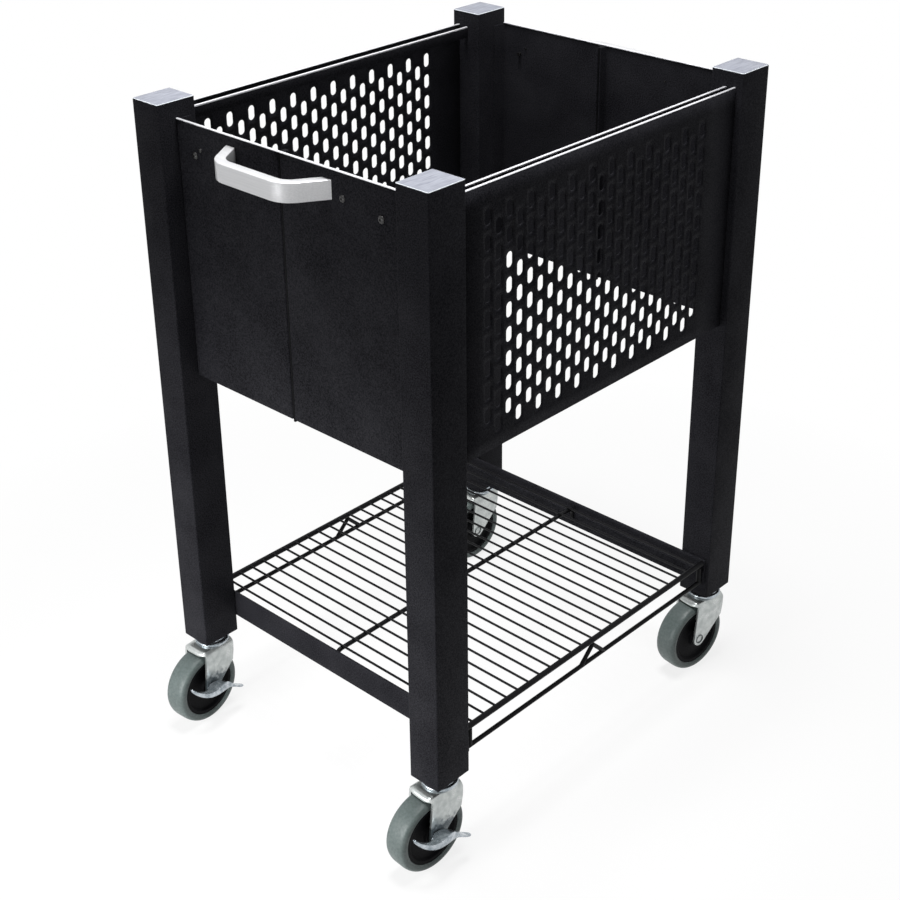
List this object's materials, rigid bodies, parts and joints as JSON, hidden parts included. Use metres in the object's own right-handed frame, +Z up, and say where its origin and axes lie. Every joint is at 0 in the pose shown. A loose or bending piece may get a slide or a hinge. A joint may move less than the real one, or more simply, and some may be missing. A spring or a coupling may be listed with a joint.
{
  "type": "mobile file cart",
  "caption": "Rolling file cart with square posts, an open-topped hanging-file bin with perforated sides, bow pulls, a low wire shelf and swivel casters with brakes.",
  "frame": {"origin": "on the floor, at the centre of the cart's overall box", "axes": "+Z up, -Y to the front with the pictured pull, +X to the right seen from the front"},
  "size_m": [0.3635, 0.5104, 0.6425],
  "materials": {
    "black_coat": "fine-textured black powder coat",
    "black_wire": "satin black coat on wire",
    "cap_grey": "light grey, finely grained",
    "bright_steel": "bright drawn metal",
    "satin_aluminium": "satin",
    "zinc": "bright zinc plate",
    "grey_tyre": "matt grey",
    "black_plastic": "matt black",
    "black_screw": "black, slightly glossy"
  },
  "bodies": {
    "frame": {"post_front_left": "black_coat", "post_cap_front_left": "cap_grey", "caster_socket_front_left": "black_plastic", "post_front_right": "black_coat", "post_cap_front_right": "cap_grey", "caster_socket_front_right": "black_plastic", "post_back_left": "black_coat", "post_cap_back_left": "cap_grey", "caster_socket_back_left": "black_plastic", "post_back_right": "black_coat", "post_cap_back_right": "cap_grey", "caster_socket_back_right": "black_plastic", "front_panel_left": "black_coat", "front_screw_left": "black_screw", "front_panel_right": "black_coat", "front_screw_right": "black_screw", "front_seam_strip": "black_plastic", "front_panel_trim": "bright_steel", "front_pull": "satin_aluminium", "back_panel_left": "black_coat", "back_screw_left": "black_screw", "back_panel_right": "black_coat", "back_screw_right": "black_screw", "back_seam_strip": "black_plastic", "back_panel_trim": "bright_steel", "back_pull": "satin_aluminium", "side_trim_left": "bright_steel", "side_panel_left": "black_coat", "file_rail_left": "bright_steel", "shelf_truss_left": "black_wire", "side_trim_right": "bright_steel", "side_panel_right": "black_coat", "file_rail_right": "bright_steel", "shelf_truss_right": "black_wire", "shelf_bar_front": "black_coat", "shelf_bar_back": "black_coat", "shelf_grid": "black_wire"},
    "caster_front_left": {"caster_stem_front_left": "zinc", "caster_fork_front_left": "zinc", "caster_axle_front_left": "zinc"},
    "wheel_front_left": {"wheel_hub_front_left": "black_plastic", "wheel_tyre_front_left": "grey_tyre"},
    "caster_front_right": {"caster_stem_front_right": "zinc", "caster_fork_front_right": "zinc", "caster_axle_front_right": "zinc"},
    "wheel_front_right": {"wheel_hub_front_right": "black_plastic", "wheel_tyre_front_right": "grey_tyre"},
    "caster_back_left": {"caster_stem_back_left": "zinc", "caster_fork_back_left": "zinc", "caster_axle_back_left": "zinc"},
    "wheel_back_left": {"wheel_hub_back_left": "black_plastic", "wheel_tyre_back_left": "grey_tyre"},
    "caster_back_right": {"caster_stem_back_right": "zinc", "caster_fork_back_right": "zinc", "caster_axle_back_right": "zinc"},
    "wheel_back_right": {"wheel_hub_back_right": "black_plastic", "wheel_tyre_back_right": "grey_tyre"},
    "brake_front_left": {"brake_pedal_front_left": "zinc"},
    "brake_front_right": {"brake_pedal_front_right": "zinc"}
  },
  "joints": [
    {"name": "swivel_front_left", "type": "hinge", "parent": "frame", "child": "caster_front_left", "pos_m": [-0.16413, -0.19779, 0.086], "axis": [0, 0, 1], "continuous": true},
    {"name": "roll_front_left", "type": "hinge", "parent": "caster_front_left", "child": "wheel_front_left", "pos_m": [-0.16281, -0.21675, 0.03782], "axis": [0.9976, 0.0698, 0], "continuous": true},
    {"name": "swivel_front_right", "type": "hinge", "parent": "frame", "child": "caster_front_right", "pos_m": [0.15087, -0.19779, 0.086], "axis": [0, 0, 1], "continuous": true},
    {"name": "roll_front_right", "type": "hinge", "parent": "caster_front_right", "child": "wheel_front_right", "pos_m": [0.14954, -0.21675, 0.03782], "axis": [0.9976, -0.0698, 0], "continuous": true},
    {"name": "swivel_back_left", "type": "hinge", "parent": "frame", "child": "caster_back_left", "pos_m": [-0.16413, 0.20221, 0.086], "axis": [0, 0, 1], "continuous": true},
    {"name": "roll_back_left", "type": "hinge", "parent": "caster_back_left", "child": "wheel_back_left", "pos_m": [-0.16513, 0.18323, 0.03782], "axis": [0.9986, -0.0523, 0], "continuous": true},
    {"name": "swivel_back_right", "type": "hinge", "parent": "frame", "child": "caster_back_right", "pos_m": [0.15087, 0.20221, 0.086], "axis": [0, 0, 1], "continuous": true},
    {"name": "roll_back_right", "type": "hinge", "parent": "caster_back_right", "child": "wheel_back_right", "pos_m": [0.14822, 0.18339, 0.03782], "axis": [0.9903, -0.1392, 0], "continuous": true},
    {"name": "brake_front_left", "type": "hinge", "parent": "caster_front_left", "child": "brake_front_left", "pos_m": [-0.16281, -0.21675, 0.03782], "axis": [0.9976, 0.0698, 0], "range_deg": [0, 22]},
    {"name": "brake_front_right", "type": "hinge", "parent": "caster_front_right", "child": "brake_front_right", "pos_m": [0.14954, -0.21675, 0.03782], "axis": [0.9976, -0.0698, 0], "range_deg": [0, 22]}
  ]
}
